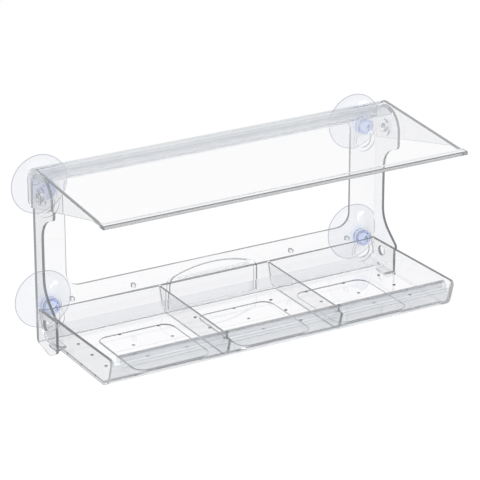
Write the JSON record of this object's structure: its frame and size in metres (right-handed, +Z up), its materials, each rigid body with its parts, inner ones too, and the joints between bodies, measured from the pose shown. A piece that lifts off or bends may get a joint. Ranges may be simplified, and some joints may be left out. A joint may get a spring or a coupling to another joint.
{
  "type": "window bird feeder",
  "caption": "Clear window bird feeder: slide-out divided seed tray with a perch rim under a tilting roof, on a frame held to the pane by suction cups.",
  "frame": {"origin": "on the window pane, in the middle of the four suction cups", "axes": "+X to the right seen from the garden side, +Z up, +Y into the pane, so the feeder stands out along -Y"},
  "size_m": [0.403, 0.17, 0.1833],
  "materials": {
    "back_frame_plastic": "clear, glossy, moulded",
    "tray_latch_plastic": "clear, glossy, moulded",
    "hinge_pin_left_plastic": "clear, glossy, moulded",
    "hinge_pin_right_plastic": "clear, glossy, moulded",
    "roof_plastic": "clear, glossy, moulded",
    "seed_tray_plastic": "clear, glossy, moulded",
    "divider_left_plastic": "clear, glossy, moulded",
    "divider_right_plastic": "clear, glossy, moulded",
    "suction_cup_upper_left_plastic": "clear, glossy, faint blue tint",
    "suction_cup_upper_right_plastic": "clear, glossy, faint blue tint",
    "suction_cup_lower_left_plastic": "clear, glossy, faint blue tint",
    "suction_cup_lower_right_plastic": "clear, glossy, faint blue tint"
  },
  "bodies": {
    "frame": {"back_frame": "back_frame_plastic", "hinge_pin_left": "hinge_pin_left_plastic", "hinge_pin_right": "hinge_pin_right_plastic"},
    "latch": {"tray_latch": "tray_latch_plastic"},
    "roof": {"roof": "roof_plastic"},
    "tray": {"seed_tray": "seed_tray_plastic", "divider_left": "divider_left_plastic", "divider_right": "divider_right_plastic"},
    "cup_upper_left": {"suction_cup_upper_left": "suction_cup_upper_left_plastic"},
    "cup_upper_right": {"suction_cup_upper_right": "suction_cup_upper_right_plastic"},
    "cup_lower_left": {"suction_cup_lower_left": "suction_cup_lower_left_plastic"},
    "cup_lower_right": {"suction_cup_lower_right": "suction_cup_lower_right_plastic"}
  },
  "joints": [
    {"name": "roof_tilt", "type": "hinge", "parent": "frame", "child": "roof", "pos_m": [0, -0.0375, 0.06], "axis": [1, 0, 0], "range_deg": [0, 40]},
    {"name": "tray_slide", "type": "slide", "parent": "frame", "child": "tray", "axis": [0, -1, 0], "range_m": [0, 0.06]},
    {"name": "latch_flex", "type": "hinge", "parent": "frame", "child": "latch", "pos_m": [0, -0.0192, -0.0885], "axis": [1, 0, 0], "range_deg": [-5, 0], "stiffness_Nm_per_rad": 2},
    {"name": "cup_upper_left_slide", "type": "slide", "parent": "frame", "child": "cup_upper_left", "axis": [0, 0, -1], "range_m": [0, 0.0138]},
    {"name": "cup_upper_right_slide", "type": "slide", "parent": "frame", "child": "cup_upper_right", "axis": [0, 0, -1], "range_m": [0, 0.0138]},
    {"name": "cup_lower_left_slide", "type": "slide", "parent": "frame", "child": "cup_lower_left", "axis": [0, 0, -1], "range_m": [0, 0.0138]},
    {"name": "cup_lower_right_slide", "type": "slide", "parent": "frame", "child": "cup_lower_right", "axis": [0, 0, -1], "range_m": [0, 0.0138]}
  ]
}
